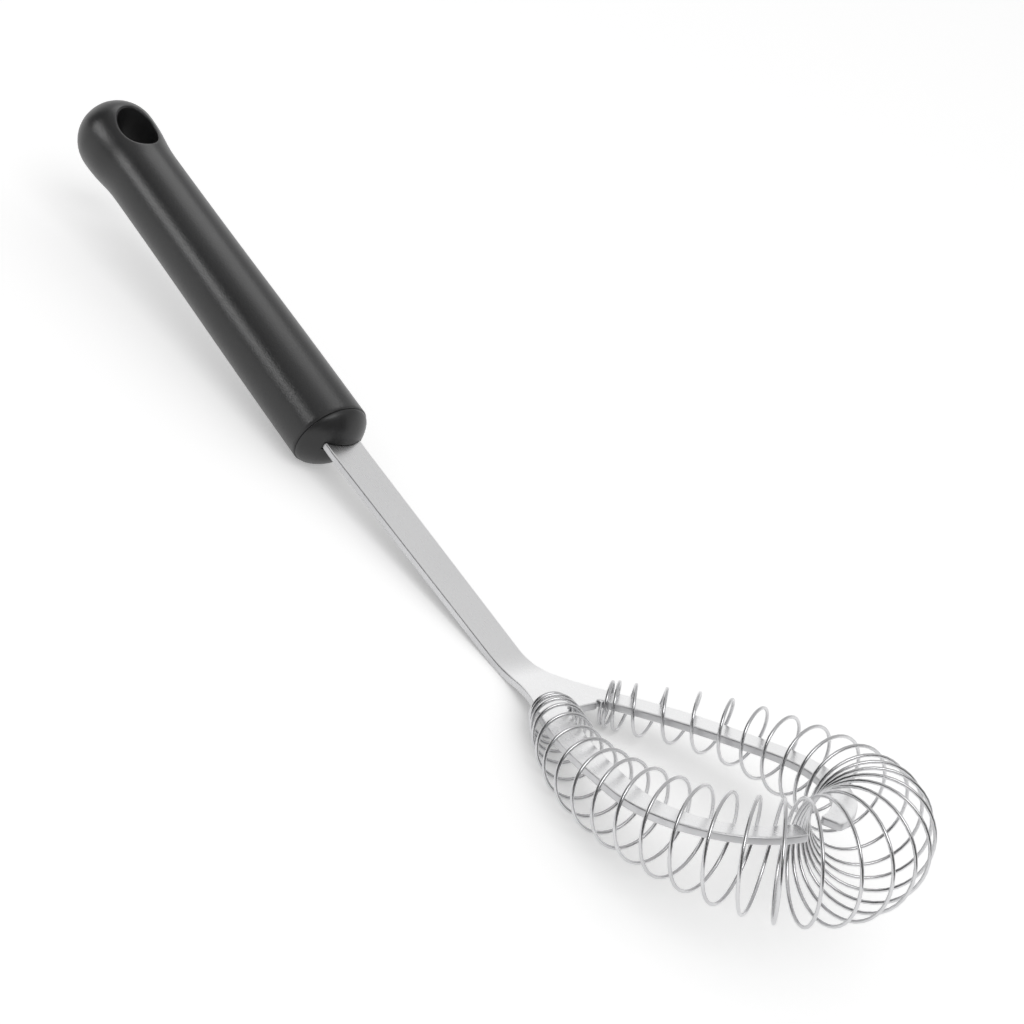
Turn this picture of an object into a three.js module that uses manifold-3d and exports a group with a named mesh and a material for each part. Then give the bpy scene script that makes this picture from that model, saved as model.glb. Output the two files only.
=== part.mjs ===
// Flat whisk: a moulded grip, a forked steel strip whose tang sits in the grip, and one long barrel
// spring wound round the two prongs of the fork. Millimetres, +Z up, the tool end towards +X.
// The pieces are built along the grip's axis, from its front rim, and then laid down as the whisk
// rests on a table: on the lower front rim of the grip and on the knee of the strip.

import * as THREE from 'three';
import { mergeVertices } from 'three/addons/utils/BufferGeometryUtils.js';
import Module from 'manifold-3d';

const wasm = await Module();
wasm.setup();

const degrees = Math.PI / 180;

// Grip, measured backwards from its front rim
const gripFrontDiameter = 19;
const gripWaistDiameter = 18.1;
const gripWaistAt = 90;
const bulbDiameter = 20.1;
const bulbAt = 105.3;
const gripRimRadius = 0.8;
const gripFaceRise = 4.6;
const hangingHoleLength = 12.8;
const hangingHoleWidth = 9.6;
const hangingHoleAt = 100.3;
const hangingHoleLip = 0.8;

// Steel strip, measured forwards along its middle line from the grip's front rim
const sheetThickness = 1.8;
const tangLength = 70;
const tangWidth = 10.8;
const tangAboveAxis = 1.06;
const tangClearance = 0.3;
const tangOutOfFace = 1.9;
const shaftRise = 2 * degrees;
const kneeAt = 70.4;
const kneeAngle = 24.9 * degrees;
const kneeRadius = 24;
const neckWidth = 9.4;

// Fork, whose prongs part at the end of the knee
const prongSpread = 31.1 * degrees;
const spreadLength = 32.8;
const prongLean = 17 * degrees;
const armLength = 21.2;
const elbowBlend = 12;
const shoulderLength = 13;
const prongRootWidth = 7.2;
const prongTipWidth = 4.9;
const prongEndGap = 8.6;
const prongEndRound = 1.1;

// Barrel spring, measured along the prongs from where they part
const wireDiameter = 0.8;
const springStart = 17.5;
const springSeatClearance = 0.5;
const springTipRadius = 12.9;
const springBarrelTurns = 17;
const springLeave = 11;
const springShoulder = 3.4;
const springBulge = 1;
const springOverhang = 8.6;
const springSag = 1.2;
const springRoll = 6 * degrees;
const springSeatRun = 30;
const closeGap = 0.7;
const closeRunFirst = 4;
const closeRunLast = 2.5;
const openingRun = 12;
const armPitch = 7.1;
const tipPitch = 4.8;
const tipRun = 12;
const tipFadeRun = 40;

// Fineness of the round shapes
const gripSides = 36;
const gripCurveSteps = 6;
const kneeSteps = 7;
const edgeStep = 3;
const endSteps = 7;
const curlSteps = 8;
const wireSides = 5;

const blackPlastic = new THREE.MeshStandardMaterial({ color: 0x2c2c2d, roughness: 0.5, metalness: 0 });
const satinSteel = new THREE.MeshStandardMaterial({ color: 0xc9cacb, roughness: 0.36, metalness: 1 });
const brightWire = new THREE.MeshStandardMaterial({ color: 0xd4d5d6, roughness: 0.22, metalness: 1 });

function toSolid(geometry) {
  const bare = geometry.clone();
  bare.deleteAttribute('normal');
  bare.deleteAttribute('uv');
  const merged = mergeVertices(bare);
  const vertProperties = new Float32Array(merged.attributes.position.array);
  const triVerts = new Uint32Array(merged.index.array);
  return new wasm.Manifold(new wasm.Mesh({ numProp: 3, vertProperties, triVerts }));
}

function toGeometry(positions, triangles) {
  const geometry = new THREE.BufferGeometry();
  geometry.setAttribute('position', new THREE.Float32BufferAttribute(positions, 3));
  geometry.setIndex(Array.from(triangles));
  geometry.computeVertexNormals();
  return geometry;
}

// Grip: a turned bar with a soft bulb at its end, a hanging hole through the bulb and a slot for the tang
const frontRadius = gripFrontDiameter / 2;
const waistRadius = gripWaistDiameter / 2;
const bulbRadius = bulbDiameter / 2;
const slotFront = gripFaceRise + gripRimRadius;

function gripBody() {
  const faceEdge = frontRadius - gripRimRadius;
  const domeRadius = (faceEdge ** 2 + gripFaceRise ** 2) / (2 * gripFaceRise);
  const domeSweep = Math.asin(faceEdge / domeRadius);
  const halfWaist = gripWaistAt / 2;
  const halfBlend = (gripWaistAt + bulbAt) / 2;
  const profile = new THREE.Path();
  profile.absarc(0, gripFaceRise - domeRadius, domeRadius, Math.PI / 2, Math.PI / 2 - domeSweep, true);
  profile.quadraticCurveTo(frontRadius, 0, frontRadius, -gripRimRadius);
  profile.bezierCurveTo(frontRadius, -halfWaist, waistRadius, -halfWaist, waistRadius, -gripWaistAt);
  profile.bezierCurveTo(waistRadius, -halfBlend, bulbRadius, -halfBlend, bulbRadius, -bulbAt);
  profile.absarc(0, -bulbAt, bulbRadius, 0, -Math.PI / 2, true);
  const points = profile.getPoints(gripCurveSteps).reverse();
  return new THREE.LatheGeometry(points, gripSides).rotateZ(-Math.PI / 2);
}

function tangSlot() {
  const depth = tangLength + tangClearance;
  const slot = new THREE.BoxGeometry(
    depth + slotFront,
    tangWidth + 2 * tangClearance,
    sheetThickness + 2 * tangClearance,
  );
  return slot.translate((slotFront - depth) / 2, 0, tangAboveAxis);
}

// The hole's cutter is an oval bar that flares by one lip where it leaves the bulb
function hangingHole() {
  const holeRadius = hangingHoleWidth / 2;
  const mouth = Math.sqrt(bulbRadius ** 2 - holeRadius ** 2);
  const reach = bulbRadius + hangingHoleLip;
  const side = new THREE.Path();
  side.moveTo(0, -reach);
  side.lineTo(holeRadius + hangingHoleLip, -reach);
  side.lineTo(holeRadius + hangingHoleLip, -mouth);
  side.quadraticCurveTo(holeRadius, -mouth, holeRadius, hangingHoleLip - mouth);
  side.lineTo(holeRadius, mouth - hangingHoleLip);
  side.quadraticCurveTo(holeRadius, mouth, holeRadius + hangingHoleLip, mouth);
  side.lineTo(holeRadius + hangingHoleLip, reach);
  side.lineTo(0, reach);
  const cutter = new THREE.LatheGeometry(side.getPoints(gripCurveSteps), gripSides);
  cutter.scale(hangingHoleLength / hangingHoleWidth, 1, 1);
  return cutter.rotateX(Math.PI / 2).translate(-hangingHoleAt, 0, 0);
}

function gripGeometry() {
  const cut = toSolid(gripBody()).subtract(toSolid(tangSlot())).subtract(toSolid(hangingHole()));
  const mesh = cut.getMesh();
  return toGeometry(mesh.vertProperties, mesh.triVerts);
}

// Side view of the strip: the tang follows the grip, the shaft rises a little, the knee lifts the fork
const riseAt = gripFaceRise + tangOutOfFace;
const kneeEnd = kneeAt + kneeRadius * kneeAngle;

function middleLine(along) {
  const onShaft = THREE.MathUtils.clamp(along, riseAt, kneeAt) - riseAt;
  const turned = (THREE.MathUtils.clamp(along, kneeAt, kneeEnd) - kneeAt) / kneeRadius;
  const onFork = Math.max(along, kneeEnd) - kneeEnd;
  const pitch = (along > riseAt ? shaftRise : 0) + turned;
  const chord = 2 * kneeRadius * Math.sin(turned / 2);
  const chordPitch = shaftRise + turned / 2;
  return {
    x: Math.min(along, riseAt) + onShaft * Math.cos(shaftRise) + chord * Math.cos(chordPitch)
      + onFork * Math.cos(pitch),
    z: tangAboveAxis + onShaft * Math.sin(shaftRise) + chord * Math.sin(chordPitch)
      + onFork * Math.sin(pitch),
    pitch,
  };
}

// A place on the strip: along it, across it, and above its middle layer
function onStrip(along, across, above) {
  const { x, z, pitch } = middleLine(along);
  return new THREE.Vector3(x - above * Math.sin(pitch), across, z + above * Math.cos(pitch));
}

// Middle line of one prong in the flat of the fork: x runs along the strip, y across it
const forkPoint = new THREE.Vector2(kneeEnd, 0);
const spreadWay = new THREE.Vector2(Math.cos(prongSpread), Math.sin(prongSpread));
const spreadSide = new THREE.Vector2(-spreadWay.y, spreadWay.x);
const leanWay = new THREE.Vector2(Math.cos(prongLean), Math.sin(prongLean));
const elbow = forkPoint.clone().addScaledVector(spreadWay, spreadLength);
const elbowIn = elbow.clone().addScaledVector(spreadWay, -elbowBlend);
const elbowOut = elbow.clone().addScaledVector(leanWay, elbowBlend);
const armEnd = elbow.clone().addScaledVector(leanWay, armLength);
const bowRadius = armEnd.y / leanWay.x;
const bowCentre = armEnd.x + bowRadius * leanWay.y;
const bowEnd = Math.asin((prongEndGap / 2 + prongEndRound) / bowRadius);

const prongLine = new THREE.CurvePath();
prongLine.add(new THREE.LineCurve(forkPoint, elbowIn));
prongLine.add(new THREE.QuadraticBezierCurve(elbowIn, elbow, elbowOut));
prongLine.add(new THREE.LineCurve(elbowOut, armEnd));
prongLine.add(new THREE.EllipseCurve(bowCentre, 0, bowRadius, bowRadius, Math.PI / 2 + prongLean, bowEnd, true));
const prongLength = prongLine.getLength();

function prongEdge(along, side) {
  const share = along / prongLength;
  const taper = THREE.MathUtils.clamp((along - spreadLength) / (prongLength - spreadLength), 0, 1);
  const width = THREE.MathUtils.lerp(prongRootWidth, prongTipWidth, taper);
  const way = prongLine.getTangentAt(share);
  const out = new THREE.Vector2(-way.y, way.x);
  return prongLine.getPointAt(share).addScaledVector(out, side * width / 2);
}

// Spring turns are eight-sided: their corners stand as far outside the true circle as their flats lie inside
const cornerReach = 2 / (1 + Math.cos(Math.PI / curlSteps));
const flatReach = cornerReach * Math.cos(Math.PI / curlSteps);
const prongReach = Math.hypot(prongRootWidth, sheetThickness) / 2;
const springRootRadius = (prongReach + springSeatClearance + wireDiameter / 2) / flatReach;

// The wire's ends stand in round notches in the web between the prongs
const wireSeat = forkPoint.clone()
  .addScaledVector(spreadWay, springStart)
  .addScaledVector(spreadSide, -springRootRadius * cornerReach);
const notchRadius = wireDiameter / 2 + springSeatClearance;

// Outline of one half of the fork, from the neck round the prong to the web
const neckHalf = neckWidth / 2;
const shoulder = prongEdge(shoulderLength, 1);
const shoulderCorner = shoulder.x - (shoulder.y - neckHalf) / Math.tan(prongSpread);

function halfWidth(along) {
  if (along <= kneeAt) {
    const share = Math.max(along - riseAt, 0) / (kneeAt - riseAt);
    return THREE.MathUtils.lerp(tangWidth / 2, neckHalf, share);
  }
  const bend = kneeAt - 2 * shoulderCorner + shoulder.x;
  const slope = shoulderCorner - kneeAt;
  const gone = along - kneeAt;
  const share = gone / (slope + Math.sqrt(slope ** 2 + bend * gone));
  return neckHalf + share ** 2 * (shoulder.y - neckHalf);
}

function forkHalf() {
  const half = [];
  for (let step = 0; step < kneeSteps; step += 1) {
    const along = THREE.MathUtils.lerp(kneeEnd, shoulder.x, step / kneeSteps);
    half.push(new THREE.Vector2(along, halfWidth(along)));
  }
  const outerSteps = Math.round((prongLength - shoulderLength) / edgeStep);
  for (let step = 0; step <= outerSteps; step += 1) {
    half.push(prongEdge(THREE.MathUtils.lerp(shoulderLength, prongLength, step / outerSteps), 1));
  }
  const endMiddle = prongLine.getPointAt(1);
  const endSide = new THREE.Vector2(Math.cos(bowEnd), Math.sin(bowEnd));
  for (let step = 1; step < endSteps; step += 1) {
    const turn = bowEnd - Math.PI * step / endSteps;
    const rim = new THREE.Vector2(Math.cos(turn), Math.sin(turn));
    const corner = (prongTipWidth / 2 - prongEndRound) * (step < endSteps / 2 ? 1 : -1);
    half.push(endMiddle.clone().addScaledVector(endSide, corner).addScaledVector(rim, prongEndRound));
  }
  const webAlong = (wireSeat.x - forkPoint.x - spreadWay.y * prongRootWidth / 2) / spreadWay.x;
  const innerSteps = Math.round((prongLength - webAlong) / edgeStep);
  for (let step = innerSteps; step >= 0; step -= 1) {
    half.push(prongEdge(THREE.MathUtils.lerp(webAlong, prongLength, step / innerSteps), -1));
  }
  for (let step = 0; step <= endSteps; step += 1) {
    const turn = Math.PI / 2 + Math.PI * step / endSteps;
    const rim = new THREE.Vector2(Math.cos(turn), Math.sin(turn));
    half.push(wireSeat.clone().addScaledVector(rim, notchRadius));
  }
  return half;
}

function mirrored(points) {
  return points.map((point) => new THREE.Vector2(point.x, -point.y));
}

// The strip is laid out flat in panels between its bend lines, then each corner is put in its bent place
function stripPanels() {
  const stations = [-tangLength, riseAt];
  for (let step = 0; step <= kneeSteps; step += 1) {
    stations.push(THREE.MathUtils.lerp(kneeAt, kneeEnd, step / kneeSteps));
  }
  const panels = [];
  for (let i = 1; i < stations.length; i += 1) {
    const ends = [stations[i - 1], stations[i]];
    const edge = ends.map((along) => new THREE.Vector2(along, halfWidth(along)));
    panels.push([...mirrored(edge), ...edge.reverse()]);
  }
  const half = forkHalf();
  panels.push([...mirrored(half), ...half.reverse()]);
  return panels;
}

function stripGeometry() {
  const corners = [];
  const numbers = new Map();
  const rim = new Map();
  const faces = [];
  const numberOf = (point) => {
    const key = `${point.x} ${point.y}`;
    if (!numbers.has(key)) {
      numbers.set(key, corners.length);
      corners.push(point);
    }
    return numbers.get(key);
  };
  for (const panel of stripPanels()) {
    const ids = panel.map(numberOf);
    ids.forEach((from, i) => {
      const to = ids[(i + 1) % ids.length];
      if (!rim.delete(`${to} ${from}`)) rim.set(`${from} ${to}`, [from, to]);
    });
    for (const face of THREE.ShapeUtils.triangulateShape(panel, [])) faces.push(face.map((i) => ids[i]));
  }
  const top = corners.map((point) => onStrip(point.x, point.y, sheetThickness / 2));
  const bottom = corners.map((point) => onStrip(point.x, point.y, -sheetThickness / 2));
  const positions = [...top, ...bottom].flatMap((place) => place.toArray());
  const under = corners.length;
  const triangles = [];
  for (const [a, b, c] of faces) triangles.push(a, b, c, c + under, b + under, a + under);
  for (const [a, b] of rim.values()) triangles.push(a + under, b + under, b, a + under, b, a);
  return toGeometry(positions, triangles);
}

// Half of the spring's own line: it follows the prong, then bows out past the prong's end
const springTip = new THREE.Vector2(bowCentre + bowRadius + springOverhang, 0);
const springOut = elbow.clone().addScaledVector(leanWay, springLeave);
const springHalf = new THREE.CurvePath();
const springRoot = forkPoint.clone().addScaledVector(spreadWay, springStart);
springHalf.add(new THREE.LineCurve(springRoot, elbow.clone().addScaledVector(spreadWay, -springLeave)));
springHalf.add(new THREE.QuadraticBezierCurve(springHalf.curves[0].v2, elbow, springOut));
springHalf.add(new THREE.CubicBezierCurve(
  springOut,
  armEnd.clone().addScaledVector(leanWay, springShoulder),
  new THREE.Vector2(springTip.x, bowRadius + springBulge),
  springTip,
));
const springHalfLength = springHalf.getLength();
const springLength = 2 * springHalfLength;

// Distance from one turn to the next: close at both roots, open on the arms, closer again at the tip
function turnPitch(along) {
  const { smoothstep, lerp } = THREE.MathUtils;
  const rootPitch = wireDiameter + closeGap;
  const open = lerp(tipPitch, armPitch, smoothstep(Math.abs(along - springHalfLength), tipRun, tipFadeRun));
  const first = lerp(rootPitch, open, smoothstep(along, closeRunFirst, closeRunFirst + openingRun));
  const fromLast = springLength - along;
  return lerp(rootPitch, first, smoothstep(fromLast, closeRunLast, closeRunLast + openingRun));
}

// Stations along the spring, one for each step of a turn
function springStations() {
  const marchSteps = 4000;
  const stride = springLength / marchSteps;
  const turnsAt = [0];
  for (let i = 0; i < marchSteps; i += 1) {
    turnsAt.push(turnsAt[i] + stride / turnPitch((i + 0.5) * stride));
  }
  const turns = Math.round(turnsAt[marchSteps]);
  const scale = turns / turnsAt[marchSteps];
  const stations = [];
  let i = 0;
  for (let step = 0; step <= turns * curlSteps; step += 1) {
    const turn = step / curlSteps;
    while (i < marchSteps - 1 && turnsAt[i + 1] * scale < turn) i += 1;
    const part = (turn / scale - turnsAt[i]) / (turnsAt[i + 1] - turnsAt[i]);
    stations.push({ turn, along: Math.min((i + part) * stride, springLength) });
  }
  const tipTurn = turnsAt[marchSteps / 2] * scale;
  return { tipTurn, stations };
}

// Middle and sideways direction of the spring at a station, seen along its run from one root to the other
function springMiddle(along) {
  const coming = along <= springHalfLength;
  const share = (coming ? along : springLength - along) / springHalfLength;
  const place = springHalf.getPointAt(share);
  const way = springHalf.getTangentAt(share);
  const side = coming ? -1 : 1;
  const across = side * place.y;
  const loose = THREE.MathUtils.smoothstep(Math.min(along, springLength - along), 0, springSeatRun);
  const hang = loose * (across * Math.tan(springRoll) - springSag);
  const middle = onStrip(place.x, across, hang);
  const ahead = onStrip(place.x - side * way.x, across - way.y, hang).sub(middle).normalize();
  const pitch = middleLine(place.x).pitch;
  const up = new THREE.Vector3(-Math.sin(pitch), 0, Math.cos(pitch));
  return { middle, up, right: ahead.cross(up) };
}

// Wire line: round the prongs turn by turn, with a straight stub through the notch at each end
function wireLine() {
  const { tipTurn, stations } = springStations();
  const line = stations.map(({ turn, along }) => {
    const { middle, up, right } = springMiddle(along);
    const fromMiddle = Math.min(Math.abs(turn - tipTurn) / springBarrelTurns, 1);
    const swell = Math.cos(fromMiddle * Math.PI / 2) ** 2;
    const radius = cornerReach * THREE.MathUtils.lerp(springRootRadius, springTipRadius, swell);
    const angle = 2 * Math.PI * turn - Math.PI / 2;
    const radial = up.clone().multiplyScalar(Math.cos(angle)).addScaledVector(right, Math.sin(angle));
    return { place: middle.clone().addScaledVector(radial, radius), radial, up };
  });
  const stub = sheetThickness / 2 + wireDiameter;
  const first = line[0];
  const last = line[line.length - 1];
  line.unshift({ ...first, place: first.place.clone().addScaledVector(first.up, -stub) });
  line.push({ ...last, place: last.place.clone().addScaledVector(last.up, stub) });
  return line;
}

function wireGeometry(line) {
  const positions = [];
  line.forEach(({ place, radial }, i) => {
    const before = line[Math.max(i - 1, 0)].place;
    const after = line[Math.min(i + 1, line.length - 1)].place;
    const ahead = after.clone().sub(before).normalize();
    const out = radial.clone().addScaledVector(ahead, -radial.dot(ahead)).normalize();
    const beside = ahead.cross(out);
    for (let side = 0; side < wireSides; side += 1) {
      const angle = 2 * Math.PI * side / wireSides;
      const point = place.clone()
        .addScaledVector(out, Math.cos(angle) * wireDiameter / 2)
        .addScaledVector(beside, Math.sin(angle) * wireDiameter / 2);
      positions.push(...point.toArray());
    }
  });
  const triangles = [];
  for (let ring = 0; ring + 1 < line.length; ring += 1) {
    for (let side = 0; side < wireSides; side += 1) {
      const a = ring * wireSides + side;
      const b = ring * wireSides + (side + 1) % wireSides;
      triangles.push(a, b, b + wireSides, a, b + wireSides, a + wireSides);
    }
  }
  const lastRing = (line.length - 1) * wireSides;
  for (let side = 1; side + 1 < wireSides; side += 1) {
    triangles.push(0, side + 1, side);
    triangles.push(lastRing, lastRing + side, lastRing + side + 1);
  }
  return toGeometry(positions, triangles);
}

// Least clear distance between one stretch of the wire and another that is over half a turn away
function leastGap(line) {
  const partsPerStep = 4;
  const points = [];
  for (let i = 0; i + 1 < line.length; i += 1) {
    for (let part = 0; part < partsPerStep; part += 1) {
      points.push(line[i].place.clone().lerp(line[i + 1].place, part / partsPerStep));
    }
  }
  const apart = partsPerStep * curlSteps / 2;
  let least = Infinity;
  for (let i = 0; i < points.length; i += 1) {
    for (let j = i + apart; j < points.length; j += 1) {
      least = Math.min(least, points[i].distanceTo(points[j]));
    }
  }
  return least - wireDiameter;
}

const wire = wireLine();
console.log(`spring: ${(wire.length - 3) / curlSteps} turns, least gap to itself ${leastGap(wire).toFixed(2)} mm`);

function piece(name, geometry, material) {
  const mesh = new THREE.Mesh(geometry, material);
  mesh.name = name;
  return mesh;
}

const grip = piece('grip', gripGeometry(), blackPlastic);
const forkedStrip = piece('forked_strip', stripGeometry(), satinSteel);
const barrelSpring = piece('barrel_spring', wireGeometry(wire), brightWire);

// The whisk tips forward until the grip's front rim and the strip's knee stand at one height
function lowestPoint(mesh, tilt) {
  const { position } = mesh.geometry.attributes;
  let lowest = Infinity;
  for (let i = 0; i < position.count; i += 1) {
    lowest = Math.min(lowest, position.getZ(i) * Math.cos(tilt) - position.getX(i) * Math.sin(tilt));
  }
  return lowest;
}

function restTilt() {
  let low = 0;
  let high = kneeAngle;
  for (let halving = 0; halving < 40; halving += 1) {
    const tilt = (low + high) / 2;
    if (lowestPoint(grip, tilt) < lowestPoint(forkedStrip, tilt)) low = tilt;
    else high = tilt;
  }
  return low;
}

const lying = new THREE.Group();
lying.add(grip, forkedStrip, barrelSpring);
lying.rotation.y = restTilt();

// Origin on the table, under the middle of the whisk
const box = new THREE.Box3().setFromObject(lying, true);
lying.position.set(-(box.min.x + box.max.x) / 2, -(box.min.y + box.max.y) / 2, -box.min.z);

const flatWhisk = new THREE.Group();
flatWhisk.name = 'flat_whisk';
flatWhisk.add(lying);

export default flatWhisk;
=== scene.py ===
import math

import bmesh
import bpy
import numpy as np
from mathutils import Euler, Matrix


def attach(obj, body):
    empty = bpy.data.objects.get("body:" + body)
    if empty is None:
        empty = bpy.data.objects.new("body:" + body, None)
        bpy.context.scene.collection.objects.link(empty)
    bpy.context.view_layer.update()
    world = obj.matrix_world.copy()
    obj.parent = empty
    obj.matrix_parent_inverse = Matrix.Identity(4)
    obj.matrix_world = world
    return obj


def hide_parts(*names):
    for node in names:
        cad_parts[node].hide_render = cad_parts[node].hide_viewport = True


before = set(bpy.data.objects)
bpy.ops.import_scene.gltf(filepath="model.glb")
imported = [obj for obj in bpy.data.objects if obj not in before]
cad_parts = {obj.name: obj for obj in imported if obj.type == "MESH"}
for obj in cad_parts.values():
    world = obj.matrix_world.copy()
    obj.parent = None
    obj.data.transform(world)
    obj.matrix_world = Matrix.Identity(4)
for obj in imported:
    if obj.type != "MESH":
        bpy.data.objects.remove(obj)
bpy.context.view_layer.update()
scene = bpy.context.scene

# Camera
cameraSpec = {
    "place": (0.32119, -0.39917, 0.28562),
    "turnDegrees": (60.289, -22.442, 48.985),
    "lens": 91.41,
    "sensor": 36.0,
    "clip": (0.01, 20.0),
}


def addCamera():
    data = bpy.data.cameras.new("camera")
    data.lens = cameraSpec["lens"]
    data.sensor_width = cameraSpec["sensor"]
    data.clip_start, data.clip_end = cameraSpec["clip"]
    camera = bpy.data.objects.new("camera", data)
    camera.location = cameraSpec["place"]
    camera.rotation_euler = Euler([math.radians(a) for a in cameraSpec["turnDegrees"]], "XYZ")
    scene.collection.objects.link(camera)
    scene.camera = camera


addCamera()
print("camera in place")

# Places: the whisk is shaped along its grip in millimetres, then laid down in the row frame
lying = {"tiltDegrees": 9.3345, "place": (-31.9541, 0.0125, 9.2622)}
millimetre = 0.001


def laidDown(points):
    points = np.asarray(points, dtype=float)
    tilt = math.radians(lying["tiltDegrees"])
    x = math.cos(tilt) * points[:, 0] + math.sin(tilt) * points[:, 2]
    z = math.cos(tilt) * points[:, 2] - math.sin(tilt) * points[:, 0]
    return (np.stack([x, points[:, 1], z], axis=1) + np.array(lying["place"])) * millimetre


def meshObject(name, points, faces, edges=()):
    mesh = bpy.data.meshes.new(name)
    mesh.from_pydata([tuple(p) for p in points], list(edges), [tuple(f) for f in faces])
    mesh.update()
    obj = bpy.data.objects.new(name, mesh)
    scene.collection.objects.link(obj)
    return obj


def bakeModifiers(obj):
    graph = bpy.context.evaluated_depsgraph_get()
    mesh = bpy.data.meshes.new_from_object(obj.evaluated_get(graph))
    obj.modifiers.clear()
    old = obj.data
    obj.data = mesh
    bpy.data.meshes.remove(old)


def smoothUnder(obj, degrees):
    obj.data.shade_smooth()
    obj.data.set_sharp_from_angle(angle=math.radians(degrees))


def pointArray(mesh):
    flat = np.empty(len(mesh.vertices) * 3)
    mesh.vertices.foreach_get("co", flat)
    return flat.reshape(-1, 3)


# Shared surface effect: a noise that can be drawn out along the piece
def addGrainGroup():
    group = bpy.data.node_groups.new("surfaceGrain", "ShaderNodeTree")
    group.interface.new_socket("Stretch", in_out="INPUT", socket_type="NodeSocketVector")
    group.interface.new_socket("Scale", in_out="INPUT", socket_type="NodeSocketFloat")
    group.interface.new_socket("Patch scale", in_out="INPUT", socket_type="NodeSocketFloat")
    group.interface.new_socket("Grain", in_out="OUTPUT", socket_type="NodeSocketFloat")
    group.interface.new_socket("Patch", in_out="OUTPUT", socket_type="NodeSocketFloat")
    nodes, links = group.nodes, group.links
    inputs = nodes.new("NodeGroupInput")
    outputs = nodes.new("NodeGroupOutput")
    place = nodes.new("ShaderNodeTexCoord")
    drawn = nodes.new("ShaderNodeMapping")
    fine = nodes.new("ShaderNodeTexNoise")
    fine.inputs["Detail"].default_value = 3.0
    broad = nodes.new("ShaderNodeTexNoise")
    broad.inputs["Detail"].default_value = 2.0
    links.new(place.outputs["Object"], drawn.inputs["Vector"])
    links.new(inputs.outputs["Stretch"], drawn.inputs["Scale"])
    links.new(drawn.outputs["Vector"], fine.inputs["Vector"])
    links.new(inputs.outputs["Scale"], fine.inputs["Scale"])
    links.new(place.outputs["Object"], broad.inputs["Vector"])
    links.new(inputs.outputs["Patch scale"], broad.inputs["Scale"])
    links.new(fine.outputs["Fac"], outputs.inputs["Grain"])
    links.new(broad.outputs["Fac"], outputs.inputs["Patch"])
    return group


grainGroup = addGrainGroup()
toneSteps = (0.3, 0.7)


def surfaceMaterial(title, look):
    material = bpy.data.materials.new(title)
    material.use_nodes = True
    nodes, links = material.node_tree.nodes, material.node_tree.links
    shader = nodes["Principled BSDF"]
    shader.inputs["Metallic"].default_value = look["metallic"]
    grain = nodes.new("ShaderNodeGroup")
    grain.node_tree = grainGroup
    grain.inputs["Stretch"].default_value = look["stretch"]
    grain.inputs["Scale"].default_value = look["grainScale"]
    grain.inputs["Patch scale"].default_value = look["patchScale"]
    tone = nodes.new("ShaderNodeValToRGB")
    for step, position, name in zip(tone.color_ramp.elements, toneSteps, ("darkTone", "paleTone")):
        step.position = position
        step.color = look[name]
    rough = nodes.new("ShaderNodeMapRange")
    rough.inputs["To Min"].default_value = look["roughness"][0]
    rough.inputs["To Max"].default_value = look["roughness"][1]
    bump = nodes.new("ShaderNodeBump")
    bump.inputs["Strength"].default_value = look["bumpStrength"]
    bump.inputs["Distance"].default_value = look["bumpDepth"]
    links.new(grain.outputs["Patch"], tone.inputs["Fac"])
    links.new(tone.outputs["Color"], shader.inputs["Base Color"])
    links.new(grain.outputs["Grain"], rough.inputs["Value"])
    links.new(rough.outputs["Result"], shader.inputs["Roughness"])
    links.new(grain.outputs["Grain"], bump.inputs["Height"])
    links.new(bump.outputs["Normal"], shader.inputs["Normal"])
    return material


def bezier(corners, count):
    t = np.linspace(0.0, 1.0, count)[:, None]
    pts = [np.asarray(c, dtype=float) for c in corners]
    last = len(pts) - 1
    shares = [math.comb(last, k) * t**k * (1 - t) ** (last - k) for k in range(last + 1)]
    return sum(share * point for share, point in zip(shares, pts))


# Grip
gripSpec = {
    "frontRadius": 9.5, "waistRadius": 9.05, "waistAt": 90.0, "bulbRadius": 10.05, "bulbAt": 105.3,
    "rimAt": 1.1, "faceLean": 0.08, "leanRun": 14.0,
    "noseRadius": 9.2, "noseTop": 4.55, "domeRadius": 11.0, "domeEdge": 8.6,
    "seamStart": 0.25, "seamSteps": ((0.1, 0.55), (0.0, 0.15), (-0.08, 0.05), (-0.25, 0.0)), "sideStart": 0.8,
    "holeHalfLength": 6.4, "holeHalfWidth": 4.8, "holeAt": 100.3, "holeRollDegrees": 7.7, "holeRound": 0.8,
    "holeFrom": 89.0, "holeTo": 113.5, "holeSpan": 16,
    "slotLength": 70.3, "slotWidth": 11.2, "slotHeight": 2.2, "slotLift": 1.06, "slotOverrun": 2.0,
    "sides": 96, "domeRows": 24, "shoulderRows": 7, "sideRows": 31, "holeRows": 25, "endRows": 10,
    "lipSteps": 7, "boreSteps": 9, "smoothDegrees": 35.0,
}
gripLook = {
    "metallic": 0.0, "stretch": (1.0, 1.0, 1.0), "grainScale": 2600.0, "patchScale": 60.0,
    "darkTone": (0.013, 0.013, 0.0135, 1.0), "paleTone": (0.018, 0.018, 0.0185, 1.0),
    "roughness": (0.28, 0.4), "bumpStrength": 0.35, "bumpDepth": 0.00008,
}


def gripSideTable():
    t = np.linspace(0.0, 1.0, 80)
    eased = 3 * t**2 - 2 * t**3
    gone = 1.5 * t - 1.5 * t**2 + t**3
    spec = gripSpec
    bodyAt = spec["rimAt"] + gone * (spec["waistAt"] - spec["rimAt"])
    blendAt = spec["waistAt"] + gone * (spec["bulbAt"] - spec["waistAt"])
    bodyRadius = spec["frontRadius"] + eased * (spec["waistRadius"] - spec["frontRadius"])
    blendRadius = spec["waistRadius"] + eased * (spec["bulbRadius"] - spec["waistRadius"])
    return np.concatenate([bodyAt, blendAt[1:]]), np.concatenate([bodyRadius, blendRadius[1:]])


gripSide = gripSideTable()


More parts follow.
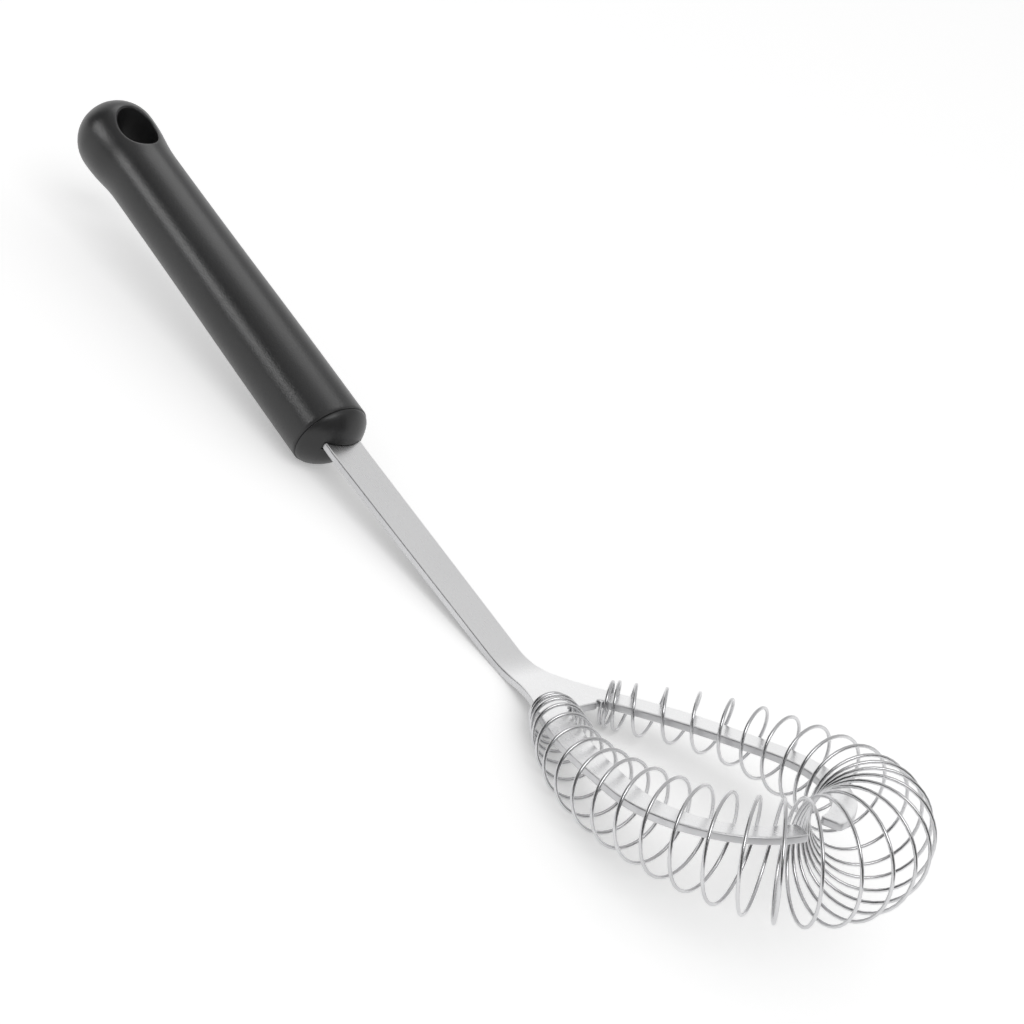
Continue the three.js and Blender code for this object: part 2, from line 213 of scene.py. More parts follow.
def gripRadius(x):
    spec = gripSpec
    bulb = np.sqrt(np.maximum(spec["bulbRadius"] ** 2 - (x + spec["bulbAt"]) ** 2, 0.0))
    return np.where(-x > spec["bulbAt"], bulb, np.interp(-x, *gripSide))


# Rows of the turned grip from nose to bulb: place along the axis and radius
def gripProfile():
    spec = gripSpec
    out = np.linspace(0.0, spec["domeEdge"], spec["domeRows"] + 1)[1:]
    reach = np.sqrt(spec["domeRadius"] ** 2 - out**2)
    dome = np.stack([spec["noseTop"] - spec["domeRadius"] + reach, out], axis=1)
    slope = np.array([-out[-1] / reach[-1], 1.0])
    corner = dome[-1] + slope * (spec["noseRadius"] - spec["domeEdge"])
    seamEdge = (spec["seamStart"] - spec["rimAt"], spec["noseRadius"])
    shoulder = bezier([dome[-1], corner, seamEdge], spec["shoulderRows"] + 1)[1:]
    seam = [(ahead - spec["rimAt"], spec["frontRadius"] - sunk) for ahead, sunk in spec["seamSteps"]]
    sideAt = -np.concatenate([
        np.linspace(spec["rimAt"] + spec["sideStart"], spec["holeFrom"], spec["sideRows"] + 1)[:-1],
        np.linspace(spec["holeFrom"], spec["holeTo"], spec["holeRows"] + 1)])
    side = np.stack([sideAt, gripRadius(sideAt)], axis=1)
    endFrom = math.asin((spec["holeTo"] - spec["bulbAt"]) / spec["bulbRadius"])
    turn = np.linspace(endFrom, math.pi / 2, spec["endRows"] + 2)[1:-1]
    end = np.stack([-np.sin(turn), np.cos(turn)], axis=1) * spec["bulbRadius"] - (spec["bulbAt"], 0.0)
    rows = np.concatenate([dome, shoulder, seam, side, end])
    lastRow = len(rows) - len(end) - 1
    return rows, lastRow - spec["holeRows"], lastRow


# Rings of points that lead from a window in the top of the bulb through the bore to the one below
def boreRings(edge):
    spec = gripSpec
    middle = np.array([-spec["holeAt"], 0.0])
    away = edge[:, :2] - middle
    far = np.hypot(*away.T)[:, None]
    away = away / far

    def onSkin(reach):
        place = middle + away * reach
        return np.column_stack([place, np.sqrt(gripRadius(place[:, 0]) ** 2 - place[:, 1] ** 2)])

    hole = 1 / np.hypot(away[:, :1] / spec["holeHalfLength"], away[:, 1:] / spec["holeHalfWidth"])
    mouth = hole + spec["holeRound"]
    shares = np.linspace(0.0, 1.0, spec["lipSteps"] + 1)[1:]
    rings = [onSkin(far + share * (mouth - far)) for share in shares]
    lip = rings[-1]
    brim = onSkin(hole)
    wall = brim - (0.0, 0.0, spec["holeRound"])
    for t in shares:
        rings.append((1 - t) ** 2 * lip + 2 * t * (1 - t) * brim + t**2 * wall)
    through = [wall * (1.0, 1.0, share) for share in np.linspace(1.0, -1.0, spec["boreSteps"] + 1)[1:-1]]
    return rings + through + [ring * (1.0, 1.0, -1.0) for ring in reversed(rings)]


# The hanging hole is turned towards the near side
def rolled(points):
    roll = math.radians(gripSpec["holeRollDegrees"])
    across = math.cos(roll) * points[:, 1] - math.sin(roll) * points[:, 2]
    above = math.sin(roll) * points[:, 1] + math.cos(roll) * points[:, 2]
    return np.column_stack([points[:, 0], across, above])


# The face leans: its upper rim stands further forward than its lower one
def leanedFace(points):
    share = np.clip(1 + points[:, 0] / gripSpec["leanRun"], 0.0, 1.0)
    shift = gripSpec["faceLean"] * share**2 * (3 - 2 * share) * points[:, 2]
    return points + np.column_stack([shift, 0 * shift, 0 * shift])


def gripMesh():
    spec = gripSpec
    rows, first, last = gripProfile()
    sides, span = spec["sides"], spec["holeSpan"]
    turn = 2 * math.pi * np.arange(sides) / sides
    points = [(x, r * math.sin(a), r * math.cos(a)) for x, r in rows for a in turn]
    faces = []
    for row in range(len(rows) - 1):
        for i in range(sides):
            windowed = i < span or i >= sides - span or abs(i + 0.5 - sides / 2) < span
            if not (windowed and first <= row < last):
                j = (i + 1) % sides
                faces.append(tuple(row * sides + k for k in (i, j, sides + j, sides + i)))
    around = [(first, j) for j in range(-span, span)]
    around += [(row, span) for row in range(first, last)]
    around += [(last, j) for j in range(span, -span, -1)]
    around += [(row, -span) for row in range(last, first, -1)]
    ring = [row * sides + j % sides for row, j in around]
    below = [row * sides + (sides // 2 - j) % sides for row, j in around]
    steps = [ring]
    for places in boreRings(np.array([points[i] for i in ring])):
        steps.append(list(range(len(points), len(points) + len(places))))
        points.extend(places)
    steps.append(below)
    for one, other in zip(steps, steps[1:]):
        for i in range(len(ring)):
            j = (i + 1) % len(ring)
            faces.append((one[i], one[j], other[j], other[i]))
    points = [tuple(p) for p in leanedFace(rolled(np.array(points)))]
    nose, tail = len(points), len(points) + 1
    points += [(spec["noseTop"], 0.0, 0.0), (-spec["bulbAt"] - spec["bulbRadius"], 0.0, 0.0)]
    lastRing = (len(rows) - 1) * sides
    for i in range(sides):
        j = (i + 1) % sides
        faces.append((nose, j, i))
        faces.append((tail, lastRing + i, lastRing + j))
    return points, faces


def turnOutward(mesh):
    body = bmesh.new()
    body.from_mesh(mesh)
    bmesh.ops.recalc_face_normals(body, faces=body.faces)
    body.to_mesh(mesh)
    body.free()


def addGrip():
    spec = gripSpec
    bar = meshObject("grip", *gripMesh())
    turnOutward(bar.data)
    front = spec["noseTop"] + spec["slotOverrun"]
    middle = ((front - spec["slotLength"]) / 2, 0, spec["slotLift"])
    bpy.ops.mesh.primitive_cube_add(size=1.0, location=middle)
    slot = bpy.context.object
    slot.scale = (front + spec["slotLength"], spec["slotWidth"], spec["slotHeight"])
    bpy.context.view_layer.update()
    cut = bar.modifiers.new("cut", "BOOLEAN")
    cut.operation = "DIFFERENCE"
    cut.solver = "EXACT"
    cut.object = slot
    bakeModifiers(bar)
    bpy.data.objects.remove(slot)
    bar.data.vertices.foreach_set("co", laidDown(pointArray(bar.data)).ravel())
    bar.data.update()
    smoothUnder(bar, spec["smoothDegrees"])
    bar.data.materials.clear()
    bar.data.materials.append(surfaceMaterial("grainedPlastic", gripLook))
    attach(bar, "root")
    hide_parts("grip")
    return bar


grip = addGrip()
print("grip shaped,", len(grip.data.polygons), "faces")

# Strip
stripSpec = {
    "thickness": 1.8, "tangLength": 70.0, "tangWidth": 10.8, "tangLift": 1.06,
    "riseAt": 6.5, "riseDegrees": 2.0, "kneeAt": 70.4, "kneeDegrees": 24.9, "kneeRadius": 24.0,
    "neckWidth": 9.4, "spreadDegrees": 31.1, "spreadLength": 32.8, "leanDegrees": 17.0, "armLength": 21.2,
    "elbowBlend": 12.0, "shoulderLength": 13.0, "rootWidth": 7.2, "tipWidth": 4.9, "endGap": 8.6,
    "endRound": 1.1, "nearDroop": 0.06, "droopRun": 14.0, "edgeRound": 0.42, "edgeDegrees": 50.0,
    "edgeSegments": 4, "edgeStep": 0.8, "neckSteps": 14, "elbowSteps": 60, "bowSteps": 200, "rootPoints": 60,
    "cornerSteps": 7, "biteSteps": 12,
}
stripLook = {
    "metallic": 1.0, "stretch": (0.06, 1.0, 1.0), "grainScale": 3200.0, "patchScale": 40.0,
    "darkTone": (0.9, 0.9, 0.905, 1.0), "paleTone": (0.95, 0.95, 0.955, 1.0),
    "roughness": (0.22, 0.36), "bumpStrength": 0.05, "bumpDepth": 0.00004,
}
# Walls of the strip: rougher, like a sheared edge, and their colour painted darker than the faces as shade,
# for the shaded floor they mirror
roughWallShadeLook = {
    "metallic": 1.0, "stretch": (0.3, 0.3, 1.0), "grainScale": 2400.0, "patchScale": 60.0,
    "darkTone": (0.62, 0.62, 0.63, 1.0), "paleTone": (0.7, 0.7, 0.71, 1.0),
    "roughness": (0.34, 0.5), "bumpStrength": 0.08, "bumpDepth": 0.00004,
}


def stripLine(along):
    spec = stripSpec
    rise, knee = math.radians(spec["riseDegrees"]), math.radians(spec["kneeDegrees"])
    kneeEnd = spec["kneeAt"] + spec["kneeRadius"] * knee
    onShaft = np.clip(along, spec["riseAt"], spec["kneeAt"]) - spec["riseAt"]
    turned = (np.clip(along, spec["kneeAt"], kneeEnd) - spec["kneeAt"]) / spec["kneeRadius"]
    onFork = np.maximum(along, kneeEnd) - kneeEnd
    pitch = np.where(along > spec["riseAt"], rise, 0.0) + turned
    chord = 2 * spec["kneeRadius"] * np.sin(turned / 2)
    chordPitch = rise + turned / 2
    x = np.minimum(along, spec["riseAt"]) + onShaft * math.cos(rise)
    z = spec["tangLift"] + onShaft * math.sin(rise)
    x = x + chord * np.cos(chordPitch) + onFork * np.cos(pitch)
    z = z + chord * np.sin(chordPitch) + onFork * np.sin(pitch)
    return x, z, pitch


def onStrip(along, across, above):
    x, z, pitch = stripLine(np.asarray(along, dtype=float))
    y = np.broadcast_to(across, x.shape)
    return np.stack([x - above * np.sin(pitch), y, z + above * np.cos(pitch)], axis=1)


def unit(degrees):
    return np.array([math.cos(math.radians(degrees)), math.sin(math.radians(degrees))])


def forkPlan():
    spec = stripSpec
    start = np.array([spec["kneeAt"] + spec["kneeRadius"] * math.radians(spec["kneeDegrees"]), 0.0])
    spread, lean = unit(spec["spreadDegrees"]), unit(spec["leanDegrees"])
    elbow = start + spread * spec["spreadLength"]
    armEnd = elbow + lean * spec["armLength"]
    bowRadius = armEnd[1] / lean[0]
    return {
        "start": start, "spread": spread, "lean": lean, "elbow": elbow, "armEnd": armEnd,
        "bowRadius": bowRadius, "bowCentre": np.array([armEnd[0] + bowRadius * lean[1], 0.0]),
    }


plan = forkPlan()


# A line of evenly spaced points through a rough one, with its ways forward and its length so far
def evenLine(rough, step):
    gone = np.concatenate([[0.0], np.cumsum(np.hypot(*np.diff(rough, axis=0).T))])
    at = np.linspace(0.0, gone[-1], int(round(gone[-1] / step)) + 1)
    line = np.stack([np.interp(at, gone, rough[:, i]) for i in range(2)], axis=1)
    way = np.gradient(line, axis=0)
    return line, way / np.hypot(*way.T)[:, None], at


def prongLine():
    spec = stripSpec
    bend = bezier([plan["elbow"] - plan["spread"] * spec["elbowBlend"], plan["elbow"],
                   plan["elbow"] + plan["lean"] * spec["elbowBlend"]], spec["elbowSteps"])
    last = math.asin((spec["endGap"] / 2 + spec["endRound"]) / plan["bowRadius"])
    turn = np.linspace(math.pi / 2 + math.radians(spec["leanDegrees"]), last, spec["bowSteps"])
    bow = plan["bowCentre"] + plan["bowRadius"] * np.stack([np.cos(turn), np.sin(turn)], axis=1)
    return evenLine(np.concatenate([[plan["start"]], bend, bow]), spec["edgeStep"])


def stemHalfWidth(along, shoulder):
    spec = stripSpec
    half = spec["neckWidth"] / 2
    if along <= spec["kneeAt"]:
        share = max(along - spec["riseAt"], 0.0) / (spec["kneeAt"] - spec["riseAt"])
        return spec["tangWidth"] / 2 + share * (half - spec["tangWidth"] / 2)
    corner = shoulder[0] - (shoulder[1] - half) / math.tan(math.radians(spec["spreadDegrees"]))
    bend = spec["kneeAt"] - 2 * corner + shoulder[0]
    slope = corner - spec["kneeAt"]
    gone = along - spec["kneeAt"]
    share = gone / (slope + math.sqrt(slope**2 + bend * gone))
    return half + share**2 * (shoulder[1] - half)


def forkHalf(webAt, notch, notchRadius):
    spec = stripSpec
    line, way, at = prongLine()
    out = np.stack([-way[:, 1], way[:, 0]], axis=1)
    taper = np.clip((at - spec["spreadLength"]) / (at[-1] - spec["spreadLength"]), 0, 1)
    half = (spec["rootWidth"] + taper * (spec["tipWidth"] - spec["rootWidth"]))[:, None] / 2
    outer, inner = line + out * half, line - out * half
    shoulder = outer[np.searchsorted(at, spec["shoulderLength"])]
    neckAt = np.linspace(plan["start"][0], shoulder[0], spec["neckSteps"])[:-1]
    neck = [(along, stemHalfWidth(along, shoulder)) for along in neckAt]
    turn = np.linspace(0, math.pi / 2, spec["cornerSteps"])[:, None]
    inset = out[-1] * (half[-1] - spec["endRound"])
    end = np.concatenate([
        line[-1] + inset + spec["endRound"] * (out[-1] * np.cos(turn) + way[-1] * np.sin(turn)),
        line[-1] - inset + spec["endRound"] * (way[-1] * np.cos(turn) - out[-1] * np.sin(turn))])[1:-1]
    bite = np.linspace(math.pi / 2, 3 * math.pi / 2, spec["biteSteps"])
    bite = notch + notchRadius * np.stack([np.cos(bite), np.sin(bite)], axis=1)
    back = inner[::-1]
    back = back[back[:, 0] > webAt]
    corner = np.array([[webAt, np.interp(webAt, *inner[:spec["rootPoints"]].T)]])
    return np.concatenate([neck, outer[at >= spec["shoulderLength"]], end, back, corner, bite]), shoulder


# Spring measures that the strip's notches share
springSpec = {
    "wireRadius": 0.4, "start": 16.0, "leave": 11.0, "shoulder": 3.4, "bulge": -1.9, "overhang": 8.6,
    "rootRadius": 4.9, "endTuck": 0.5, "tuckTurns": 1.6, "sag": 1.5, "rootSag": 0.8, "rollDegrees": 7.5,
    "seatRun": 20.0, "turns": 35, "stepsPerTurn": 40, "wireSides": 12, "notchRadius": 0.95,
    "elbowSteps": 60, "bowSteps": 300, "lineStep": 0.25, "smoothDegrees": 60.0,
}


# The strip laid flat: one panel for each step of the stem, then the whole fork
def stripPanels():
    spec = stripSpec
    side = np.array([-plan["spread"][1], plan["spread"][0]])
    inset = springSpec["rootRadius"] - springSpec["endTuck"]
    notch = plan["start"] + plan["spread"] * springSpec["start"] - side * inset
    half, shoulder = forkHalf(notch[0], notch, springSpec["notchRadius"])
    knee = np.linspace(spec["kneeAt"], plan["start"][0], spec["neckSteps"])
    stations = np.concatenate([[-spec["tangLength"], spec["riseAt"]], knee])
    stem = np.array([(along, stemHalfWidth(along, shoulder)) for along in stations])
    flip = np.array([1.0, -1.0])
    panels = [np.array([one * flip, other * flip, other, one]) for one, other in zip(stem, stem[1:])]
    return panels + [np.concatenate([half * flip, half[::-1]])]


# The panels bent to shape and given their thickness, with the walls in the second material, whose colour is
# painted darker as shade
def addStrip():
    spec = stripSpec
    body = bmesh.new()
    known = {}

    def corner(point, above):
        key = (round(point[0], 4), round(point[1], 4), above)
        if key not in known:
            eased = np.clip((point[0] - plan["start"][0]) / spec["droopRun"], 0.0, 1.0)
            droop = spec["nearDroop"] * eased * min(point[1], 0.0)
            place = onStrip(np.array([point[0]]), point[1], above + droop)
            known[key] = body.verts.new(laidDown(place)[0])
        return known[key]

    rim = {}
    for panel in stripPanels():
        top = [corner(p, spec["thickness"] / 2) for p in panel]
        under = [corner(p, -spec["thickness"] / 2) for p in panel]
        body.faces.new(top)
        body.faces.new(under[::-1])
        for i in range(len(panel)):
            j = (i + 1) % len(panel)
            if (top[j], top[i]) in rim:
                del rim[(top[j], top[i])]
            else:
                rim[(top[i], top[j])] = (under[i], under[j], top[j], top[i])
    for wall in rim.values():
        body.faces.new(wall).material_index = 1
    mesh = bpy.data.meshes.new("forkedStrip")
    body.to_mesh(mesh)
    body.free()
    mesh.shade_smooth()
    mesh.materials.append(surfaceMaterial("satinSteel", stripLook))
    mesh.materials.append(surfaceMaterial("roughWallPaintedShade", roughWallShadeLook))
    strip = bpy.data.objects.new("forkedStrip", mesh)
    scene.collection.objects.link(strip)
    edge = strip.modifiers.new("softEdge", "BEVEL")
    edge.width = spec["edgeRound"] * millimetre
    edge.segments = spec["edgeSegments"]
    edge.use_clamp_overlap = False
    edge.limit_method = "ANGLE"
    edge.angle_limit = math.radians(spec["edgeDegrees"])
    flats = strip.modifiers.new("flatFaces", "WEIGHTED_NORMAL")
    flats.weight = 100
    bakeModifiers(strip)
    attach(strip, "root")
    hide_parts("forked_strip")
    return strip


forkedStrip = addStrip()
print("strip shaped,", len(forkedStrip.data.polygons), "faces")

# Spring: pairs of a turn and its place along the middle line, from the near root round to the far one
springTurns = (
    (0.0, 0.0), (0.6, 1.2), (1.6, 3.2), (2.6, 5.6), (3.6, 8.7), (4.6, 13.4), (5.6, 19.4), (6.6, 26.1),
    (7.65, 32.6), (8.66, 38.5), (12.68, 62.8), (14.68, 73.7), (16.66, 82.8), (18.6, 91.0), (23.3, 109.6),
    (24.3, 115.7), (25.3, 122.0), (27.3, 136.0), (32.3, 171.2), (33.3, 174.6), (34.2, 175.7), (35.0, 176.5),
)
# Pairs of a place along the middle line and the radius of the turns there
springGirth = (
    (0.0, springSpec["rootRadius"]), (30.0, 8.3), (60.0, 10.75), (80.0, 12.8), (96.0, 13.0), (112.0, 11.2),
    (131.0, 8.1), (150.0, 6.4), (176.5, springSpec["rootRadius"]),
)
springLook = {
    "metallic": 1.0, "stretch": (1.0, 1.0, 1.0), "grainScale": 1400.0, "patchScale": 90.0,
    "darkTone": (0.6, 0.6, 0.61, 1.0), "paleTone": (0.7, 0.7, 0.71, 1.0),
    "roughness": (0.16, 0.3), "bumpStrength": 0.06, "bumpDepth": 0.00003,
}


def springHalfLine():
    spec = springSpec
    root = plan["start"] + plan["spread"] * spec["start"]
    into = plan["elbow"] - plan["spread"] * spec["leave"]
    out = plan["elbow"] + plan["lean"] * spec["leave"]
    tip = np.array([plan["bowCentre"][0] + plan["bowRadius"] + spec["overhang"], 0.0])
    bend = bezier([into, plan["elbow"], out], spec["elbowSteps"])
    bow = bezier([out, plan["armEnd"] + plan["lean"] * spec["shoulder"],
                  (tip[0], plan["bowRadius"] + spec["bulge"]), tip], spec["bowSteps"])
    return evenLine(np.concatenate([[root], bend, bow[1:]]), spec["lineStep"])


# A running mean that keeps the first and last values
def evened(values, half):
    before = 2 * values[0] - values[half:0:-1]
    after = 2 * values[-1] - values[-2:-half - 2:-1]
    count = 2 * half + 1
    return np.convolve(np.concatenate([before, values, after]), np.full(count, 1 / count), "valid")


# The spring's middle at every step of every turn, with the way sideways and the radius there
def springSpine():
    spec = springSpec
    line, way, at = springHalfLine()
    flip = np.array([1.0, -1.0])
    whole = np.concatenate([line * flip, line[-2::-1]])
    ahead = np.concatenate([way * flip, -way[-2::-1]])
    gone = np.concatenate([at, 2 * at[-1] - at[-2::-1]])
    turns, steps = spec["turns"], spec["stepsPerTurn"]
    turn = np.linspace(0.0, turns, turns * steps + 1)
    along = evened(np.interp(turn, *zip(*springTurns)), steps // 2)
    girth = evened(np.interp(along, *zip(*springGirth)), 2 * steps)
    fromEnd = np.minimum(np.minimum(turn, turns - turn) / spec["tuckTurns"], 1.0)
    girth = girth - spec["endTuck"] * (1 - fromEnd) ** 2
    place = np.stack([np.interp(along, gone, whole[:, i]) for i in range(2)], axis=1)
    forward = np.stack([np.interp(along, gone, ahead[:, i]) for i in range(2)], axis=1)
    forward /= np.hypot(*forward.T)[:, None]
    loose = np.clip(np.minimum(along, gone[-1] - along) / spec["seatRun"], 0, 1)
    loose = loose**2 * (3 - 2 * loose)
    rolledDown = place[:, 1] * math.tan(math.radians(spec["rollDegrees"])) - spec["sag"]
    hang = loose * rolledDown - (1 - loose) * spec["rootSag"]
    spine = onStrip(place[:, 0], place[:, 1], hang)
    right = onStrip(place[:, 0] + forward[:, 1], place[:, 1] - forward[:, 0], hang) - spine
    return turn, spine, right, girth


def windingTree():
    tree = bpy.data.node_groups.new("windSpring", "GeometryNodeTree")
    face = tree.interface
    face.new_socket("Geometry", in_out="INPUT", socket_type="NodeSocketGeometry")
    face.new_socket("Wire radius", in_out="INPUT", socket_type="NodeSocketFloat")
    face.new_socket("Up", in_out="INPUT", socket_type="NodeSocketVector")
    face.new_socket("Wire sides", in_out="INPUT", socket_type="NodeSocketInt")
    face.new_socket("Material", in_out="INPUT", socket_type="NodeSocketMaterial")
    face.new_socket("Geometry", in_out="OUTPUT", socket_type="NodeSocketGeometry")
    nodes, links = tree.nodes, tree.links
    inputs, outputs = nodes.new("NodeGroupInput"), nodes.new("NodeGroupOutput")

    def calculated(operation, first, *others):
        node = nodes.new("ShaderNodeMath")
        node.operation = operation
        links.new(first, node.inputs[0])
        for socket, value in zip(node.inputs[1:], others):
            if isinstance(value, float):
                socket.default_value = value
            else:
                links.new(value, socket)
        return node.outputs[0]

    def named(name, kind):
        node = nodes.new("GeometryNodeInputNamedAttribute")
        node.data_type = kind
        node.inputs["Name"].default_value = name
        return node.outputs["Attribute"]

    def scaled(vector, amount):
        node = nodes.new("ShaderNodeVectorMath")
        node.operation = "SCALE"
        links.new(vector, node.inputs[0])
        links.new(amount, node.inputs["Scale"])
        return node.outputs[0]

    girth = named("girth", "FLOAT")
    angle = calculated("MULTIPLY_ADD", named("turn", "FLOAT"), 2 * math.pi, -math.pi / 2)
    rise = calculated("MULTIPLY", girth, calculated("COSINE", angle))
    swing = calculated("MULTIPLY", girth, calculated("SINE", angle))
    upPart = scaled(inputs.outputs["Up"], rise)
    sidePart = scaled(named("right", "FLOAT_VECTOR"), swing)
    offset = nodes.new("ShaderNodeVectorMath")
    links.new(upPart, offset.inputs[0])
    links.new(sidePart, offset.inputs[1])
    wound = nodes.new("GeometryNodeSetPosition")
    links.new(inputs.outputs["Geometry"], wound.inputs["Geometry"])
    links.new(offset.outputs[0], wound.inputs["Offset"])
    curve = nodes.new("GeometryNodeMeshToCurve")
    links.new(wound.outputs["Geometry"], curve.inputs["Mesh"])
    section = nodes.new("GeometryNodeCurvePrimitiveCircle")
    links.new(inputs.outputs["Wire sides"], section.inputs["Resolution"])
    links.new(inputs.outputs["Wire radius"], section.inputs["Radius"])
    swept = nodes.new("GeometryNodeCurveToMesh")
    swept.inputs["Fill Caps"].default_value = True
    links.new(curve.outputs["Curve"], swept.inputs["Curve"])
    links.new(section.outputs["Curve"], swept.inputs["Profile Curve"])
    realized = nodes.new("GeometryNodeRealizeInstances")
    links.new(swept.outputs["Mesh"], realized.inputs["Geometry"])
    painted = nodes.new("GeometryNodeSetMaterial")
    links.new(realized.outputs["Geometry"], painted.inputs["Geometry"])
    links.new(inputs.outputs["Material"], painted.inputs["Material"])
    links.new(painted.outputs["Geometry"], outputs.inputs["Geometry"])
    return tree


def addSpring():
    spec = springSpec
    turn, spine, right, girth = springSpine()
    pitch = stripLine(np.array([plan["elbow"][0]]))[2][0]
    up = np.array([-math.sin(pitch), 0.0, math.cos(pitch)])
    stub = stripSpec["thickness"] / 2 + 2 * spec["wireRadius"]
    spine = np.concatenate([[spine[0] - up * stub], spine, [spine[-1] + up * stub]])
    right = np.concatenate([right[:1], right, right[-1:]])
    turn = np.concatenate([turn[:1], turn, turn[-1:]])
    girth = np.concatenate([girth[:1], girth, girth[-1:]]) * millimetre
    origin = laidDown([[0, 0, 0]])
    wire = meshObject("barrelSpring", laidDown(spine), [], [(i, i + 1) for i in range(len(spine) - 1)])
    wire.data.attributes.new("turn", "FLOAT", "POINT").data.foreach_set("value", turn)
    wire.data.attributes.new("girth", "FLOAT", "POINT").data.foreach_set("value", girth)
    ways = (laidDown(right) - origin) / millimetre
    wire.data.attributes.new("right", "FLOAT_VECTOR", "POINT").data.foreach_set("vector", ways.ravel())
    tree = windingTree()
    wind = wire.modifiers.new("wind", "NODES")
    wind.node_group = tree
    values = {
        "Wire radius": spec["wireRadius"] * millimetre,
        "Up": tuple((laidDown([up]) - origin)[0] / millimetre),
        "Wire sides": spec["wireSides"],
        "Material": surfaceMaterial("drawnWire", springLook),
    }
    for item in tree.interface.items_tree:
        if item.in_out == "INPUT" and item.name in values:
            wind[item.identifier] = values[item.name]
    bakeModifiers(wire)
    smoothUnder(wire, spec["smoothDegrees"])
    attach(wire, "root")
    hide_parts("barrel_spring")
    return wire


barrelSpring = addSpring()
print("spring wound,", len(barrelSpring.data.polygons), "faces")

# Floor and light
stageSpec = {
    "floorSize": 8.0, "floorTone": (0.9, 0.9, 0.9, 1.0), "floorGlow": 0.36, "floorRoughness": 0.9,
    "floorSpecular": 0.1, "ambient": 0.54,
    "keyPlace": (1.5, -1.03, 2.2), "keySize": 2.2, "keyWatts": 27.0,
    "lowCardPlace": (-0.88, -1.08, 0.45), "lowCardSize": 0.42, "lowCardWatts": 3.8,
    "highCardPlace": (-0.93, 0.32, 1.25), "highCardSize": 1.0, "highCardWatts": 5.0,
    "roomRadius": 1.5, "roomLow": 0.02, "roomHigh": 1.4, "roomFrom": -172.0, "roomTo": 29.0, "roomSteps": 33,
    "roomTone": (0.03, 0.03, 0.03, 1.0),
    "sky": ((0.22, 1.0), (0.5, 0.62)),
}


def addLamp(name, place, size, watts):
    data = bpy.data.lights.new(name, "AREA")
    data.shape = "DISK"
    data.size = size
    data.energy = watts
    lamp = bpy.data.objects.new(name, data)
    lamp.location = place
    aim = -lamp.location
    lamp.rotation_euler = aim.to_track_quat("-Z", "Y").to_euler()
    scene.collection.objects.link(lamp)
    return lamp


# One for the rays that should see a white background, nought for those that carry light
def seenDirectly(tree):
    path = tree.nodes.new("ShaderNodeLightPath")
    direct = tree.nodes.new("ShaderNodeMath")
    direct.operation = "MAXIMUM"
    either = tree.nodes.new("ShaderNodeMath")
    either.operation = "MAXIMUM"
    tree.links.new(path.outputs["Is Camera Ray"], direct.inputs[0])
    tree.links.new(path.outputs["Is Glossy Ray"], direct.inputs[1])
    tree.links.new(direct.outputs[0], either.inputs[0])
    tree.links.new(path.outputs["Is Transmission Ray"], either.inputs[1])
    return either.outputs[0]


def paperMaterial():
    paper = bpy.data.materials.new("paper")
    paper.use_nodes = True
    tree = paper.node_tree
    shader = tree.nodes["Principled BSDF"]
    shader.inputs["Base Color"].default_value = stageSpec["floorTone"]
    shader.inputs["Roughness"].default_value = stageSpec["floorRoughness"]
    shader.inputs["Specular IOR Level"].default_value = stageSpec["floorSpecular"]
    shader.inputs["Emission Color"].default_value = (1.0, 1.0, 1.0, 1.0)
    glow = tree.nodes.new("ShaderNodeMath")
    glow.operation = "MULTIPLY"
    glow.inputs[1].default_value = stageSpec["floorGlow"]
    tree.links.new(seenDirectly(tree), glow.inputs[0])
    tree.links.new(glow.outputs[0], shader.inputs["Emission Strength"])
    return paper


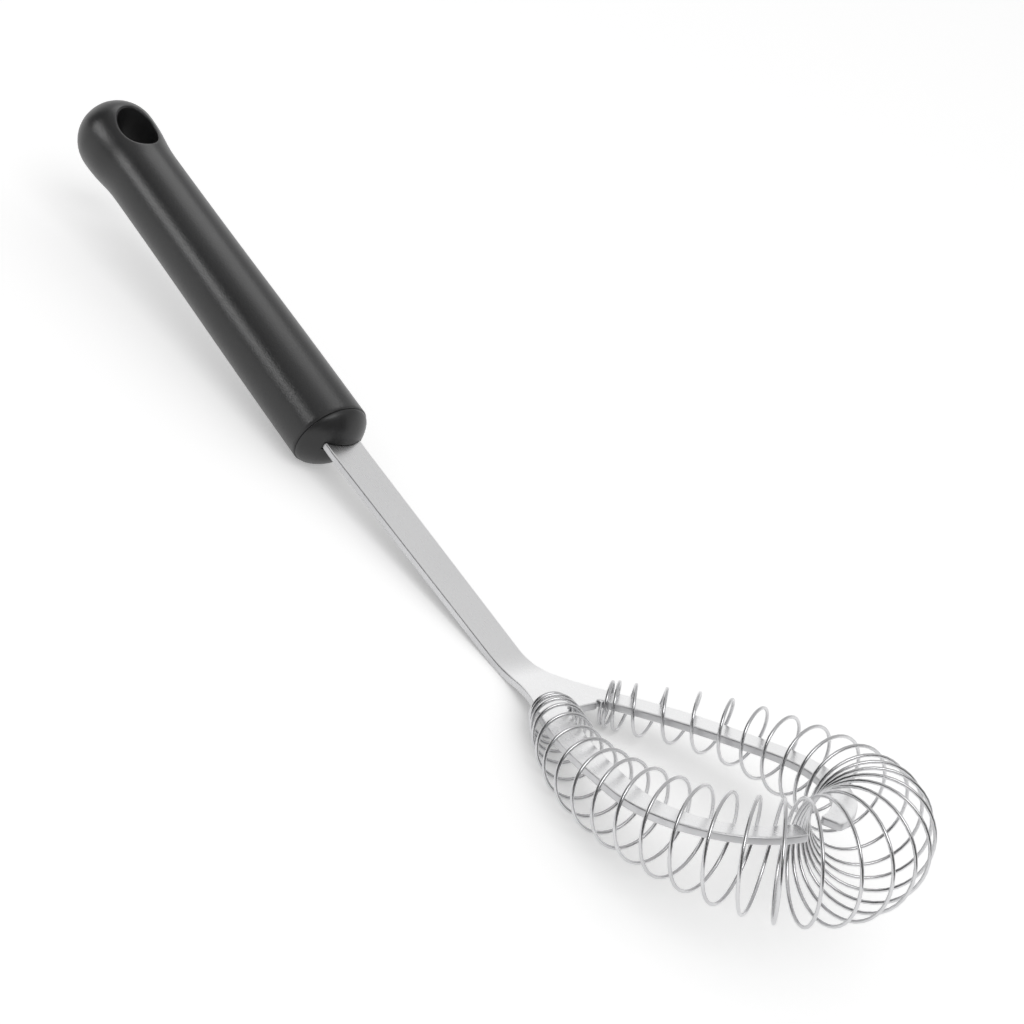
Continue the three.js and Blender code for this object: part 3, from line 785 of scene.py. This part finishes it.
def addRoom():
    spec = stageSpec
    turn = np.radians(np.linspace(spec["roomFrom"], spec["roomTo"], spec["roomSteps"]))
    ring = spec["roomRadius"] * np.stack([np.cos(turn), np.sin(turn)], axis=1)
    points = [(x, y, z) for z in (spec["roomLow"], spec["roomHigh"]) for x, y in ring]
    faces = [(i, i + 1, len(ring) + i + 1, len(ring) + i) for i in range(len(ring) - 1)]
    room = meshObject("room", points, faces)
    dark = bpy.data.materials.new("darkRoom")
    dark.use_nodes = True
    dark.node_tree.nodes["Principled BSDF"].inputs["Base Color"].default_value = spec["roomTone"]
    room.data.materials.append(dark)
    room.visible_camera = False
    room.visible_diffuse = False
    room.visible_shadow = False


# The two cards light the grip alone, as bands of sheen
def addLights():
    spec = stageSpec
    addLamp("key", spec["keyPlace"], spec["keySize"], spec["keyWatts"])
    gripOnly = bpy.data.collections.new("gripOnly")
    gripOnly.objects.link(grip)
    for name in ("lowCard", "highCard"):
        card = addLamp(name, spec[name + "Place"], spec[name + "Size"], spec[name + "Watts"])
        card.visible_diffuse = False
        card.light_linking.receiver_collection = gripOnly


# A soft even light, and a white surround that dims overhead for what sees it directly
def addWorld():
    world = bpy.data.worlds.new("studio")
    scene.world = world
    world.use_nodes = True
    tree = world.node_tree
    soft = tree.nodes["Background"]
    soft.inputs["Color"].default_value = (1.0, 1.0, 1.0, 1.0)
    soft.inputs["Strength"].default_value = stageSpec["ambient"]
    white = tree.nodes.new("ShaderNodeBackground")
    place = tree.nodes.new("ShaderNodeTexCoord")
    height = tree.nodes.new("ShaderNodeSeparateXYZ")
    sky = tree.nodes.new("ShaderNodeValToRGB")
    for step, (low, tone) in zip(sky.color_ramp.elements, stageSpec["sky"]):
        step.position = low
        step.color = (tone, tone, tone, 1.0)
    tree.links.new(place.outputs["Generated"], height.inputs[0])
    tree.links.new(height.outputs["Z"], sky.inputs["Fac"])
    tree.links.new(sky.outputs["Color"], white.inputs["Color"])
    chosen = tree.nodes.new("ShaderNodeMixShader")
    tree.links.new(seenDirectly(tree), chosen.inputs[0])
    tree.links.new(soft.outputs[0], chosen.inputs[1])
    tree.links.new(white.outputs[0], chosen.inputs[2])
    tree.links.new(chosen.outputs[0], tree.nodes["World Output"].inputs["Surface"])


def addStage():
    half = stageSpec["floorSize"] / 2
    corners = [(-half, -half, 0), (half, -half, 0), (half, half, 0), (-half, half, 0)]
    floor = meshObject("floor", corners, [(0, 1, 2, 3)])
    floor.data.materials.append(paperMaterial())
    addRoom()
    addLights()
    addWorld()
    scene.view_settings.view_transform = "Standard"
    scene.cycles.caustics_reflective = False


addStage()
print("stage set")
